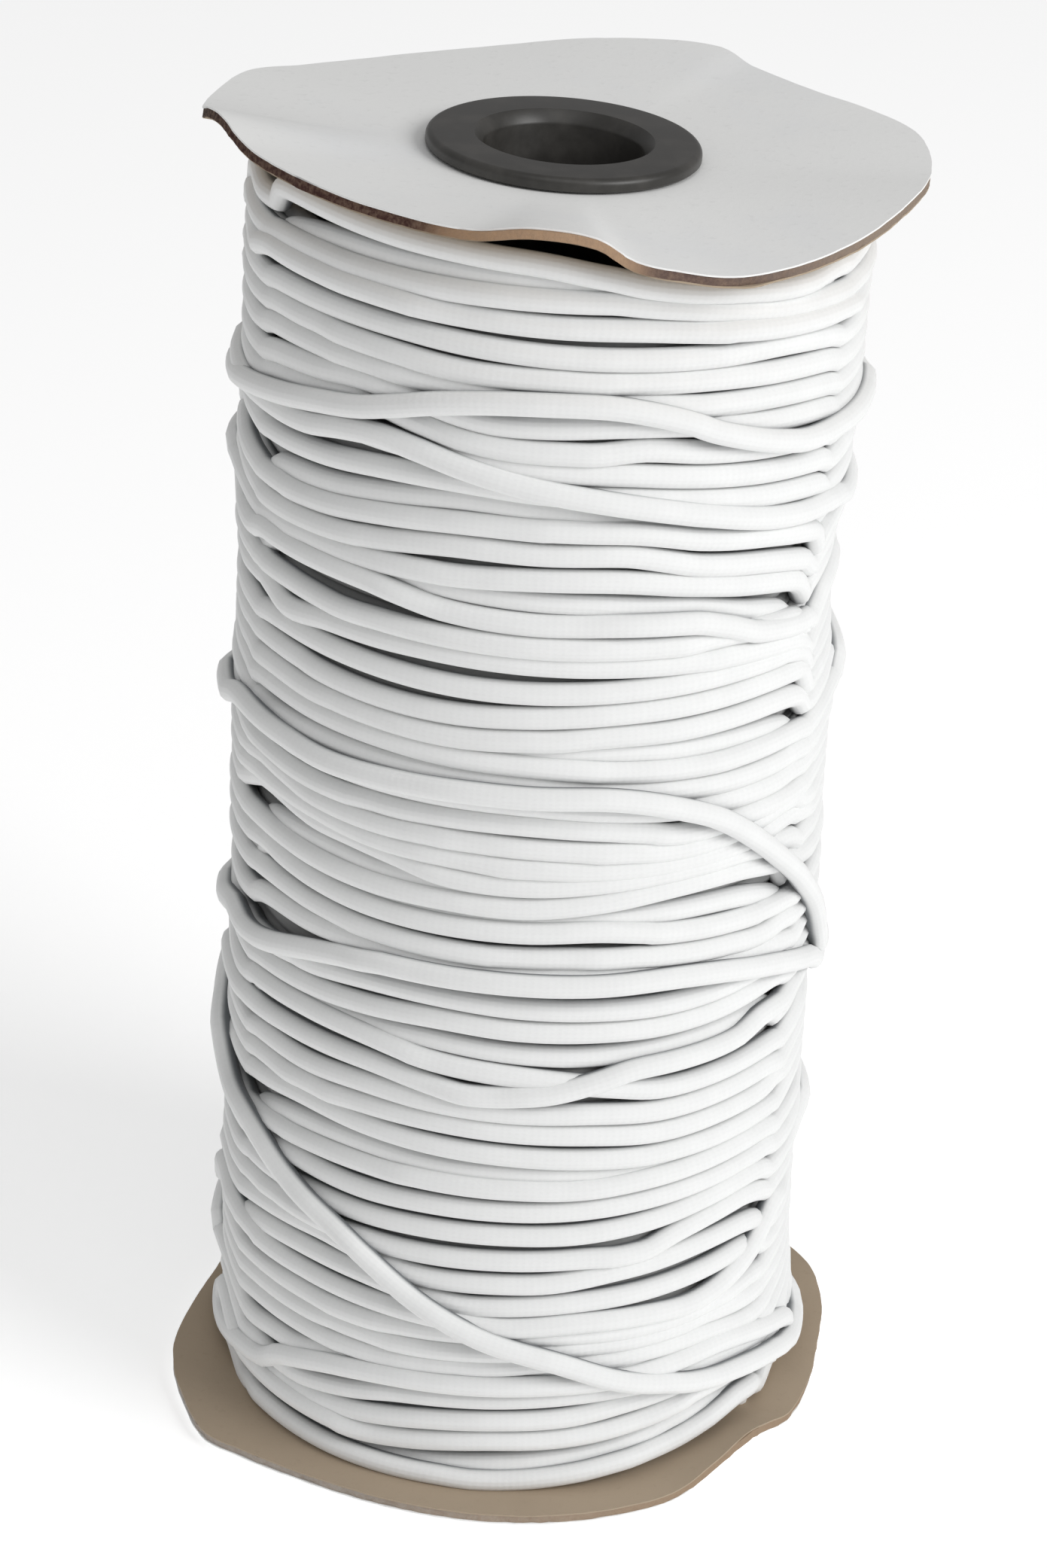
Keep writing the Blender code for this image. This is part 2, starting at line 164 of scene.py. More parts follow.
# Outer strands as the camera sees them on a cylinder of this radius
SEEN_RADIUS = 39.55
STRANDS = (
    # when it is laid, then (angle, height in mm), ...
    (1, ((-75, 5.2), (-60, 5.3), (-33, 4.9), (0, 5.3), (17, 6.2), (29, 7), (40, 7.9),
         (49, 8.8), (57, 8.8), (66, 7.5), (75, 5.5))),
    (-1, ((-75, 7.5), (-45, 7), (-30, 6.5), (-15, 7.1), (0, 8.1), (12, 8.7), (24, 9.3),
          (32, 10.3), (40, 11.4), (52, 12), (60, 11.4), (75, 8.3))),
    (1, ((-75, 10.5), (-60, 9.6), (-45, 9.2), (-30, 9.2), (-20, 9.9), (-7, 11.2),
         (0, 11.7), (12, 11.9), (23, 12.3), (33, 13), (45, 14), (60, 13.4), (75, 11))),
    (0, ((-75, 12.4), (-60, 12), (-45, 11.3), (-30, 12.1), (-22, 13), (-12, 14.1),
         (0, 14.9), (15, 15.3), (28, 16.2), (45, 16.5), (60, 15.6), (75, 13.7))),
    (0, ((-75, 15), (-60, 14.7), (-50, 14), (-42, 14), (-30, 15.6), (-22, 17),
         (-15, 17.7), (0, 18.5), (15, 18.9), (28, 18.9), (45, 19), (60, 18), (75, 16.5))),
    (2, ((-80, 7.5), (-70, 9), (-63, 10.3), (-54, 11.8), (-49, 14.2), (-42, 16.2),
         (-33, 18.1), (-20, 19.6), (6, 20.6), (28, 20.4), (46, 20.4), (55, 19),
         (63, 16.8), (72, 13.7), (80, 10.1), (86, 6.6))),
    (0, ((-75, 18.2), (-60, 18), (-53, 18.3), (-45, 18.5), (-38, 19.3), (-30, 20.2),
         (-15, 20.8), (0, 21.5), (15, 22.3), (30, 22.3), (45, 21.8), (60, 19.6),
         (75, 19))),
    (0, ((-75, 22.4), (-60, 22.2), (-30, 22.2), (-15, 23), (0, 24), (8, 24.5),
         (20, 23.9), (30, 24), (45, 23.4), (60, 21.6), (75, 22))),
    (0, ((-75, 25.2), (-60, 25), (-30, 25), (-15, 25.3), (0, 26), (15, 26.6), (30, 26.4),
         (45, 26.2), (60, 24.9), (75, 25))),
    (0, ((-75, 27.8), (-60, 27.7), (-30, 27.8), (-15, 28.3), (0, 28.9), (15, 28.6),
         (30, 28.1), (45, 28.1), (55, 28.6), (65, 28.8), (75, 28))),
    (1, ((-75, 31), (-60, 31), (-45, 31.1), (-30, 30.9), (-12, 30.5), (0, 29.9),
         (15, 30.4), (29, 29.9), (40, 29.3), (49, 30.2), (57, 32.2), (63, 34.9),
         (68, 37.5), (76, 39))),
    (0, ((-75, 31.6), (-68, 32.6), (-60, 33.7), (-45, 34.8), (-30, 34.7), (-20, 34),
         (-8, 33.1), (0, 33.3), (15, 33.8), (30, 34), (45, 34.3), (60, 34.4), (75, 31.5))),
    (0, ((-75, 35.8), (-60, 37.3), (-45, 38.4), (-38, 38.6), (-28, 37.8), (-18, 36.7),
         (0, 36.9), (10, 37.1), (22, 38), (30, 38.3), (45, 38.8), (60, 38.2), (75, 35))),
    (0, ((-75, 40), (-60, 40.3), (-45, 39.9), (-28, 40.1), (-15, 40.3), (0, 40.6),
         (15, 40.7), (28, 40.6), (37, 42), (46, 42.8), (57, 43), (75, 41))),
    (0, ((-75, 43.2), (-60, 43), (-50, 43.2), (-45, 43.8), (-30, 44), (-15, 44.4),
         (0, 44.6), (15, 44.6), (30, 45.1), (45, 45.9), (60, 46.1), (75, 44.5))),
    (5, ((-90, 54.6), (-81.5, 52.4), (-77, 50.6), (-71, 49), (-63.5, 48), (-56, 46.4),
         (-47, 43.5), (-31, 38.9), (-16.7, 32.6), (-3.9, 28), (11.3, 24.1), (25, 19.5),
         (40.5, 16), (57, 12.3), (71, 8), (82, 5.4))),
    (0, ((-75, 47), (-60, 47.2), (-50, 47.9), (-30, 47.8), (-15, 48.2), (15, 48.4),
         (45, 48.9), (60, 49), (75, 47.8))),
    (0, ((-75, 50.6), (-60, 50.5), (-45, 51.3), (-30, 51.7), (0, 51.7), (15, 51.5),
         (30, 51.8), (60, 52), (75, 51))),
    (-1, ((-75, 54), (-60, 53.9), (-45, 54.8), (-30, 55), (-15, 54.5), (0, 54.4),
          (10, 54.2), (20, 53.8), (30, 53.7), (60, 53.8), (75, 54))),
    (0, ((-75, 57.2), (-60, 57.1), (-45, 58), (-30, 57.7), (-15, 57.3), (0, 56.9),
         (15, 56.2), (30, 55.4), (60, 55.5), (75, 57))),
    (0, ((-75, 60.4), (-60, 60.4), (-45, 60.2), (-30, 60.8), (-15, 60.9), (0, 60.5),
         (15, 59.9), (30, 58.8), (45, 58.7), (60, 58.9), (75, 60))),
    (0, ((-75, 63.6), (-60, 63.6), (-45, 63.4), (-30, 64), (-15, 63.7), (0, 63.4),
         (15, 63.1), (30, 62.1), (45, 62), (60, 62.3), (75, 63))),
    (1, ((-75, 66.8), (-65, 66.9), (-40, 67.4), (-28, 67.4), (-17, 66.5), (-5, 65.9),
         (6, 66.2), (17, 67.9), (23, 69), (30, 69.3), (46, 69.5), (56, 70.5), (75, 69.6))),
    (0, ((-75, 71), (-60, 71), (-45, 71.4), (-30, 71.2), (-15, 69.8), (0, 68.9),
         (10, 68), (20, 66.8), (30, 65.5), (45, 65.3), (60, 65.6), (75, 66.2))),
    (-1, ((-75, 73.2), (-45, 73.3), (-30, 73.1), (-17, 73.2), (0, 72.4), (15, 71.9),
          (30, 72), (45, 72.5), (60, 73.4), (75, 72.8))),
    (0, ((-75, 75), (-60, 74.7), (-45, 75), (-30, 75.7), (-15, 76.3), (0, 75.8),
         (15, 75.4), (30, 75), (45, 75.2), (60, 76), (75, 75.8))),
    (0, ((-75, 78), (-60, 77.2), (-45, 78.2), (-30, 79.4), (-15, 79.6), (0, 79.1),
         (15, 78.6), (30, 78.1), (45, 78.2), (60, 78.8), (75, 78.6))),
    (3, ((-86, 73), (-76, 75.2), (-68, 76.9), (-60, 78.3), (-45, 80.7), (-36, 81.5),
         (-23, 82.3), (-8, 82.5), (2, 82.4), (15, 82.1), (29, 81.7), (40, 80.5),
         (49, 78.8), (57, 77), (66, 74.5), (75, 71.8), (84, 68.5))),
    (0, ((-75, 83), (-60, 84.4), (-45, 84.3), (-33, 84.5), (-15, 84.3), (0, 83.8),
         (15, 83.8), (30, 83.2), (45, 82), (60, 81.4), (75, 81.3))),
    (0, ((-75, 87.5), (-60, 88), (-45, 87.4), (-30, 87), (0, 86.5), (15, 86.4),
         (30, 85.3), (45, 84.3), (60, 84), (75, 84.2))),
    (0, ((-75, 91.4), (-60, 92), (-52, 91.3), (-45, 90.8), (-30, 90.2), (0, 90.1),
         (15, 90.2), (30, 88.7), (45, 87.7), (60, 87), (75, 87.1))),
    (-1, ((-75, 93), (-60, 93.4), (-30, 92), (0, 91.9), (15, 92.2), (22, 92.1),
          (30, 92), (45, 91.5), (60, 90.2), (75, 90))),
    (0, ((-75, 95), (-60, 94.6), (-45, 93.9), (-30, 93.6), (-15, 93.7), (0, 93.6),
         (15, 94.4), (30, 95.3), (45, 95.1), (60, 93.4), (75, 93))),
    (-1, ((-75, 97.3), (-60, 97.3), (-40, 96.9), (-30, 96.3), (-15, 96), (0, 96),
          (15, 96.5), (30, 97), (45, 96.9), (60, 95.2), (75, 95.8))),
    (0, ((-75, 100.5), (-57, 100.8), (-45, 99.5), (-35, 99.2), (-25, 98.4), (-15, 97.1),
         (0, 96.8), (15, 97.2), (30, 97.6), (45, 97.5), (60, 97), (75, 97.4))),
    (0, ((-75, 101.5), (-45, 100.8), (-30, 100), (-15, 99.9), (0, 99.4), (15, 98.9),
         (30, 98.7), (45, 98.9), (60, 99.6), (75, 100))),
    (0, ((-75, 103.4), (-62, 104), (-52, 103.3), (-45, 102.5), (-30, 102.2),
         (-15, 102.5), (0, 102.2), (15, 101.6), (30, 100.6), (45, 101), (60, 102.2),
         (75, 102.5))),
    (0, ((-75, 106), (-60, 105.2), (-45, 104.7), (-30, 105), (-15, 105.5), (0, 105.5),
         (15, 104.7), (22, 103.9), (30, 102.8), (45, 102.9), (60, 103), (75, 104.6))),
    (0, ((-75, 108.4), (-45, 108.2), (-15, 108.4), (0, 108.3), (15, 107.4), (30, 106.4),
         (45, 106), (60, 106.1), (75, 107))),
    (4, ((-80, 104.7), (-69, 107.6), (-55, 108.1), (-40, 108.2), (-25, 108.7),
         (-11, 109.2), (0, 109.2), (13, 109), (21, 108), (29.5, 106), (37.5, 103.3),
         (46.5, 98.7), (56.5, 92.5), (66, 86), (73.3, 80), (80, 73.3), (84, 70))),
    (0, ((-75, 111.5), (-45, 111.5), (-15, 111.4), (0, 111.2), (8, 110.6), (15, 110),
         (30, 109.2), (45, 108.8), (60, 109), (75, 109.6))),
    (0, ((-75, 115), (-60, 115), (-45, 114.6), (-30, 114.4), (-15, 114), (0, 113.7),
         (15, 112.9), (30, 112.2), (45, 111.9), (60, 112), (75, 112.2))),
    (-1, ((-75, 117), (-60, 116.8), (-45, 116), (0, 115.7), (15, 115.8), (30, 115.2),
          (45, 114.9), (60, 115), (75, 115))),
    (0, ((-75, 118.4), (-60, 118.1), (-45, 117.3), (-30, 116.9), (-15, 116.7),
         (0, 117.2), (15, 117.8), (30, 117.7), (60, 118), (75, 118))),
    (0, ((-75, 121.2), (-60, 120.7), (-45, 120.3), (-30, 119.9), (-15, 119.9),
         (0, 120.4), (15, 120.9), (30, 121), (45, 121.2), (60, 121.4), (75, 121.2))),
    (0, ((-75, 124.6), (-60, 124.6), (-40, 124.2), (-11, 123.7), (20, 124),
         (51, 124.3), (75, 124.2))),
    (0, ((-75, 129), (-66, 129.6), (-61, 128.4), (-56, 127.2), (-50, 127.1),
         (-43, 127.7), (-30, 127.9), (-20, 128), (0, 127.7), (15, 127.4), (30, 126.9),
         (45, 126.3), (60, 126), (75, 127))),
    (0, ((-75, 131.4), (-60, 130.9), (-46, 130.4), (-23, 130.2), (0, 129.9),
         (15, 129.7), (30, 129.4), (45, 129.3), (60, 129.2), (75, 130))),
    (1, ((-75, 134.7), (-69, 134.8), (-40, 135.2), (-28, 134.8), (-17, 133.6), (0, 133),
         (15, 133), (29, 132.2), (37, 130.7), (44, 128.9), (51, 128.1), (59, 127.7),
         (64, 128.4), (75, 130.6))),
    (-1, ((-75, 136.6), (-45, 137), (-30, 137.2), (-15, 136.7), (0, 136.2), (10, 135.9),
          (20, 135.3), (30, 134.6), (45, 132.4), (60, 131.8), (75, 132.8))),
    (0, ((-75, 138.2), (-60, 138), (-45, 138), (-35, 138), (-15, 138.5), (0, 139),
         (15, 138.8), (30, 137.3), (45, 135.6), (60, 134.6), (75, 135.4))),
    (0, ((-75, 140.4), (-60, 139.6), (-45, 139.9), (-35, 140.6), (-25, 141.7),
         (-15, 142.4), (0, 142.4), (15, 142.3), (22, 141.4), (30, 140), (45, 138.4),
         (60, 137.2), (75, 138))),
    (0, ((-75, 143.4), (-60, 142.8), (-45, 143.2), (-30, 144.5), (-15, 145.5),
         (0, 145.6), (15, 145.3), (22, 144.6), (30, 143.4), (45, 141.8), (60, 140.4),
         (75, 140.8))),
    (-1, ((-75, 147), (-60, 146.2), (-45, 146.4), (-30, 147.6), (-15, 148.7),
          (0, 148.3), (15, 147), (30, 145.6), (45, 144.3), (60, 143.5), (75, 143.6))),
    (0, ((-75, 150), (-60, 149.2), (-45, 149.6), (-30, 150.6), (-15, 150.9),
         (0, 150.4), (15, 149.8), (30, 148.6), (45, 147.3), (60, 146.5), (75, 146.6))),
    (2, ((-80, 151.6), (-60, 152), (-48, 152.5), (-39, 153.8), (-31, 154.4),
         (-23, 153.8), (-16, 152.8), (-9, 151.8), (0, 150.6), (10, 149.4), (20, 148),
         (31, 146.2), (41, 144.5), (51, 143.3), (66, 142.2), (85, 141))),
    (0, ((-75, 153.2), (-60, 153.8), (-45, 154.4), (-30, 154.2), (-15, 153.9),
         (0, 153.3), (15, 152.9), (30, 151.7), (45, 150.5), (60, 149.7), (75, 149.6))),
    (0, ((-75, 156.2), (-60, 157.4), (-45, 158.2), (-35, 158.8), (-24, 157.4),
         (-14, 156.2), (-5, 155.7), (10, 155.7), (18, 156), (30, 154.9), (45, 153.8),
         (60, 153), (75, 152.8))),
    (0, ((-75, 159), (-60, 160), (-45, 160.7), (-35, 161.1), (-25, 160.5), (-12, 159),
         (-2, 158.9), (13, 159.2), (25, 158.8), (38, 157.6), (45, 157.1), (60, 156.4),
         (75, 156))),
    (3, ((-84, 149.5), (-70, 151.6), (-58, 153.7), (-45, 155.8), (-35, 157.2),
         (-28, 158.6), (-20, 160.2), (-10, 161.4), (0, 161.8), (10, 161.6),
         (18, 160.5), (25, 158.9), (30, 157.3), (38, 155.3), (45, 153.8), (52, 152.6),
         (62, 152), (80, 151.4))),
    (0, ((-75, 162.6), (-60, 163), (-45, 163.2), (-35, 163.3), (-20, 163), (0, 162.5),
         (15, 162), (30, 161), (45, 160.3), (60, 159.5), (75, 159))),
    (0, ((-75, 166.4), (-60, 166.3), (-45, 165.9), (-30, 165.6), (-15, 165), (0, 164.9),
         (15, 164.7), (30, 164.3), (45, 163.5), (60, 162.7), (75, 162))),
    (0, ((-75, 169.2), (-60, 169.2), (-30, 169), (-15, 168.5), (0, 168), (15, 167.6),
         (30, 167.2), (45, 166.9), (60, 165.9), (75, 165))),
    (1, ((-75, 172.3), (-60, 172.4), (-30, 172.4), (-15, 172), (0, 171.7), (15, 171.4),
         (25, 170.8), (35, 169.9), (45, 169.1), (60, 168.2), (75, 168))),
    (0, ((-75, 175), (-65, 175.1), (-30, 175), (10, 174.9), (15, 174.5), (25, 173.6),
         (35, 172.5), (45, 171.5), (60, 170.8), (75, 170.8))),
    (-1, ((-75, 177.4), (-45, 177.8), (-30, 177.7), (0, 177.3), (10, 176.8),
          (20, 176), (35, 174.2), (45, 173.4), (60, 173.2), (75, 173.4))),
    (1, ((-60, 181.4), (-30, 180.3), (-15, 179.8), (0, 179.1), (10, 177.8), (15, 176.9),
         (25, 175.7), (35, 174.9), (45, 174.2), (60, 174.6), (75, 175.2))),
)

# Strands that cross the others round the back, as true (angle, height in mm)
BACK_FALL = ((100, 65.5), (115, 62.8), (160, 61), (215, 62), (250, 60), (262, 58))
BACK_RISE = ((104, 112), (135, 116), (165, 124), (195, 132), (225, 136), (250, 137))
BACK_SLOPE = ((104, 44), (140, 40.5), (175, 33), (210, 25.5), (245, 21), (260, 20.2))

# Colour of the cut edges round the rims: the card's own browns with painted shade, darkest at
# the left, away from the key light
UPPER_EDGE_COLOUR_AND_SHADE = (
    (-180, (0.10, 0.07, 0.06, 1)),
    (-100, (0.015, 0.010, 0.010, 1)),
    (-70, (0.045, 0.018, 0.016, 1)),
    (-24, (0.06, 0.026, 0.022, 1)),
    (-16, (0.36, 0.23, 0.14, 1)),
    (10, (0.42, 0.28, 0.18, 1)),
    (16, (0.12, 0.08, 0.07, 1)),
    (60, (0.26, 0.21, 0.17, 1)),
    (180, (0.14, 0.10, 0.08, 1)),
)
LOWER_EDGE_COLOUR_AND_SHADE = (
    (-180, (0.12, 0.08, 0.05, 1)),
    (-120, (0.05, 0.026, 0.018, 1)),
    (-84, (0.07, 0.035, 0.025, 1)),
    (-72, (0.42, 0.38, 0.34, 1)),
    (-40, (0.40, 0.36, 0.32, 1)),
    (40, (0.34, 0.25, 0.17, 1)),
    (180, (0.16, 0.10, 0.06, 1)),
)
# Torn places of the rims: angle, half width, how far out in mm, and which ply
UPPER_FRAYS = (
    (-47, 2.0, 0.5, "middle"),
    (-4, 12.0, 0.5, "middle"),
    (30, 2.2, 0.5, "back"),
)
LOWER_FRAYS = (
    (52, 4.0, 0.3, "middle"),
)

TURN_STEPS = 180
CORD_SIDES = 12
# Keeps each mesh of outer cord under 200,000 triangles
RINGS_A_PIECE = 7900
# A free end goes under the other turns over this many steps, down to this depth in mm
TUCK_STEPS = 18
TUCK_DEPTH = 4.6
# The last turn stops short of where it began
LAST_TURN_STEPS = 160
INNER_STEP = 4.0
INNER_SIDES = 8
INNER_LOWEST, INNER_HIGHEST = 5.2, 175.6
INNER_DEPTH = 2.75


def smooth_path(points, at):
    """Value at `at` of a smooth curve through (at, value) points in rising order."""
    places = [point[0] for point in points]
    last = len(points) - 2
    i = min(max(bisect_right(places, at) - 1, 0), last)
    here, there = points[i], points[i + 1]
    before = points[max(i - 1, 0)]
    after = points[min(i + 2, last + 1)]
    span = there[0] - here[0]
    slope_here = (there[1] - before[1]) / (there[0] - before[0])
    slope_there = (after[1] - here[1]) / (after[0] - here[0])
    t = (at - here[0]) / span
    return (
        here[1] * (1 + 2 * t) * (1 - t) ** 2
        + span * slope_here * t * (1 - t) ** 2
        + there[1] * t * t * (3 - 2 * t)
        + span * slope_there * t * t * (t - 1)
    )


def round_value(table, column, angle):
    """Smooth value of one column of a rim table at an angle from -180 to 180."""
    points = [(row[0], row[column]) for row in table]
    before = [(place - 360, value) for place, value in points[-3:]]
    after = [(place + 360, value) for place, value in points[:3]]
    return smooth_path(before + points + after, angle)


def place(radius, angle, height):
    turn = radians(angle)
    return radius * sin(turn), -radius * cos(turn), height


class Flange:
    """A card disc: its upper face, rim table, bend, and the lean of its middle, in mm."""

    def __init__(self, upper_face, rim, bend_radius, bend_power, lean=0.0, towards=0.0):
        self.upper_face = upper_face
        self.rim = rim
        self.bend_radius = bend_radius
        self.bend_power = bend_power
        self.slope = tan(radians(lean))
        self.towards = towards

    def reach(self, angle):
        return round_value(self.rim, 1, angle)

    def height(self, angle, radius):
        """Height of the upper face at this angle and radius."""
        flat = min(radius, self.bend_radius)
        leaning = -self.slope * flat * cos(radians(angle - self.towards))
        bend = (radius - self.bend_radius) / (self.reach(angle) - self.bend_radius)
        bend = min(max(bend, 0.0), 1.0)
        rise = round_value(self.rim, 2, angle)
        return self.upper_face + leaning + (rise - leaning) * bend**self.bend_power


LOWER_FLANGE = Flange(
    LIP_THICKNESS + PIECE_GAP + CARD_THICKNESS,
    BOTTOM_RIM, BOTTOM_BEND_RADIUS, BOTTOM_BEND_POWER,
)
UPPER_FLANGE = Flange(
    SPOOL_HEIGHT - LIP_THICKNESS - PIECE_GAP,
    TOP_RIM, TOP_BEND_RADIUS, TOP_BEND_POWER, CAP_LEAN, CAP_LEANS_TOWARDS,
)


# Laying the cord, with numpy arrays of one row a turn and one column a step

def swelling(angles, heights):
    """How far the winding stands out of its mean radius at these places."""
    total = np.zeros_like(heights)
    for centre, middle, wide, tall, depth in SWELLINGS:
        turn = (angles - centre + 180) % 360 - 180
        fall = (turn / wide) ** 2 + ((heights - middle) / tall) ** 2
        total += depth / (1 + fall) ** 2
    return total


def seen_height(angles, heights, radii):
    """True heights at these radii of what the camera sees at SEEN_RADIUS."""
    bounded = np.radians(np.clip(angles, -66, 66))
    x, y = SEEN_RADIUS * np.sin(bounded), -SEEN_RADIUS * np.cos(bounded)
    dx, dy, dz = x - CAMERA_PLACE[0], y - CAMERA_PLACE[1], heights - CAMERA_PLACE[2]
    a = dx**2 + dy**2
    b = x * dx + y * dy
    c = SEEN_RADIUS**2 - radii**2
    run = (-b - np.sqrt(np.maximum(b * b - a * c, 0.0))) / a
    return heights + run * dz


class Winding:
    """The outer layer of the cord, laid strand by strand over the one beneath."""

    STEP = 360.0 / TURN_STEPS
    LOWEST, HIGHEST = 5.4, 175.4
    SPACING = 3.0
    HIDDEN_DEPTH = 1.0
    # Most that a strand may stand out, by when it is laid
    STAND_OUT = {-1: 0.0, 0: 0.35, 1: 1.0, 2: 1.4, 3: 1.9, 4: 2.3, 5: 2.7}

    def __init__(self, cord_radius, contact=0.86, press=0.9):
        self.cord_radius = cord_radius
        self.half_contact = contact * cord_radius
        self.full_rise = press * 2 * contact * cord_radius
        self.angles = np.arange(TURN_STEPS) * self.STEP - 90.0
        self.front = TURN_STEPS // 2 + 1
        self.count = len(STRANDS)
        self.order = np.array([strand[0] + 0.001 * i for i, strand in enumerate(STRANDS)])
        self.seen = np.array([self.front_heights(points) for _, points in STRANDS])
        self.link_turns()
        self.heights = np.zeros((self.count, TURN_STEPS))
        self.radii = np.full((self.count, TURN_STEPS), WOUND_RADIUS - cord_radius)

    def front_heights(self, points):
        """Seen heights of one strand at the front steps, level beyond its ends."""
        first, last = points[0], points[-1]
        whole = [(first[0] - 30, first[1]), *points, (last[0] + 30, last[1])]
        return [smooth_path(whole, angle) for angle in self.angles[:self.front]]

    def link_turns(self):
        """Which strand each runs on to round the back, so that they are one cord."""
        kinds = [strand[0] for strand in STRANDS]
        shown = [i for i in range(self.count) if kinds[i] >= 0]
        lefts = sorted(shown, key=lambda i: self.seen[i, 0])
        rights = sorted(shown, key=lambda i: self.seen[i, -1])
        self.next, self.back_route = {}, {}
        crossings = [(kinds.index(4), kinds.index(5), BACK_FALL)]
        for route in (BACK_RISE, BACK_SLOPE):
            start = min(rights, key=lambda i: abs(self.seen[i, -1] - route[0][1]))
            end = min(lefts, key=lambda i: abs(self.seen[i, 0] - route[-1][1]))
            crossings.append((start, end, route))
        for start, end, route in crossings:
            rights.remove(start)
            lefts.remove(end)
            self.next[start] = end
            self.back_route[start] = route
        share = (self.HIGHEST - self.LOWEST) / (len(rights) - 1)
        random = np.random.default_rng(SEED)
        for rank, start in enumerate(rights):
            self.next[start] = lefts[rank + 1] if rank + 1 < len(lefts) else None
            level = self.LOWEST + share * rank
            wander = random.uniform(-0.5, 0.5, 3)
            self.back_route[start] = [
                (angle, level + share * part + shift)
                for angle, part, shift in zip((128, 180, 232), (0.3, 0.5, 0.7), wander)
            ]
        hidden = [i for i in range(self.count) if kinds[i] < 0]
        for start, end in zip(hidden, hidden[1:] + [None]):
            self.next[start] = end
            ends = self.seen[start, -1], self.seen[start if end is None else end, 0]
            self.back_route[start] = [(180, (ends[0] + ends[1]) / 2)]
        self.firsts = [lefts[0], hidden[0]]
        self.crossers = [start for start, _, _ in crossings]
        self.hidden = set(hidden)
        self.back_order = random.uniform(0, 0.5, self.count)
        self.back_order[self.crossers] += 3.0
        self.back_order[hidden] -= 1.0

    def update_heights(self):
        """True heights of all turns, from what is seen at the front and the back routes."""
        front = slice(0, self.front)
        true = seen_height(self.angles[front][None, :], self.seen, self.radii[:, front])
        self.heights[:, front] = true
        for i in range(self.count):
            follower = self.next[i] if self.next[i] is not None else i
            route = [(86, true[i, -3]), (90, true[i, -1]), *self.back_route[i],
                     (270, true[follower, 0]), (274, true[follower, 2])]
            for column in range(self.front, TURN_STEPS):
                self.heights[i, column] = smooth_path(route, self.angles[column])
        self.spread()

    def spread(self):
        """Pushes the turns apart at the sides and back, where they lie side by side."""
        turn = np.abs((self.angles + 180) % 360 - 180)
        share = np.clip((turn - 62) / 14, 0, 1)
        share = share * share * (3 - 2 * share)
        plain = [i for i in range(self.count) if STRANDS[i][0] in (0, 1)]
        behind = [i for i in range(self.count)
                  if i not in self.crossers and i not in self.hidden]
        for column in range(TURN_STEPS):
            if share[column] == 0:
                continue
            rows = np.array(plain if column < self.front else behind)
            rows = rows[np.argsort(self.heights[rows, column])]
            z = self.heights[rows, column].copy()
            for _ in range(40):
                short = np.maximum(self.SPACING - np.diff(z), 0) / 2
                z[:-1] -= short
                z[1:] += short
                np.clip(z, self.LOWEST, self.HIGHEST, out=z)
            self.heights[rows, column] += share[column] * (z - self.heights[rows, column])

    def lay(self, sweeps=3):
        front = np.arange(TURN_STEPS) < self.front
        for _ in range(sweeps):
            self.update_heights()
            slope = np.gradient(self.heights, axis=1) / (radians(self.STEP) * self.radii)
            half = self.half_contact * np.sqrt(1 + slope**2)
            base = WOUND_RADIUS - self.cord_radius + swelling(
                self.angles[None, :], self.heights)
            for i in np.argsort(self.order):
                kind = STRANDS[i][0]
                floor = base[i] - (self.HIDDEN_DEPTH if kind < 0 else 0.0)
                most = np.where(front, self.STAND_OUT[kind],
                                2.0 if i in self.crossers else min(self.STAND_OUT[kind], 0.5))
                beneath = np.where(
                    front[None, :],
                    (self.order < self.order[i])[:, None],
                    (self.back_order < self.back_order[i])[:, None],
                )
                apart = np.abs(self.heights - self.heights[i]) / (half + half[i])
                rise = self.full_rise * np.sqrt(np.maximum(1 - apart**2, 0))
                held = np.where(beneath & (apart < 1), self.radii + rise, 0).max(axis=0)
                support = np.minimum(np.maximum(floor, held), floor + most)
                self.radii[i] = self.pull_taut(i, support)

    def pull_taut(self, i, support):
        """Radii of a taut cord over its supports, between the turns it joins."""
        before = [a for a, b in self.next.items() if b == i]
        start = self.radii[before[0], -1] if before else support[0]
        end = self.radii[self.next[i], 0] if self.next[i] is not None else support[-1]
        limit = 1 / support
        u = limit.copy()
        turn = 2 * cos(radians(self.STEP))
        for _ in range(120):
            near = np.concatenate([[1 / start], u, [1 / end]])
            u = np.minimum(limit, (near[:-2] + near[2:]) / turn)
        return 1 / u

    def runs(self):
        """Lists of turns that follow one another, first the one with the free ends."""
        left = set(range(self.count))
        runs = []
        for start in self.firsts + list(range(self.count)):
            run = []
            while start is not None and start in left:
                left.discard(start)
                run.append(start)
                start = self.next[start]
            if run:
                runs.append((run, start is not None))
        return runs

    def path(self, run, closed):
        """(angle, radius, height) rows down a run, its free ends tucked under."""
        rows = [np.stack([self.angles, self.radii[i], self.heights[i]], 1) for i in run]
        if closed:
            rows.append(rows[0][:1])
            return np.concatenate(rows)
        dive = np.arange(TUCK_STEPS) + 1.0
        lead = np.repeat(rows[0][:1], TUCK_STEPS, 0)
        lead[:, 0] -= dive * self.STEP
        lead[:, 1] -= TUCK_DEPTH * (dive / TUCK_STEPS) ** 2
        tail = rows[-1][:LAST_TURN_STEPS]
        tail[-TUCK_STEPS:, 1] -= TUCK_DEPTH * (dive / TUCK_STEPS) ** 2
        return np.concatenate([lead[::-1], *rows[:-1], tail])


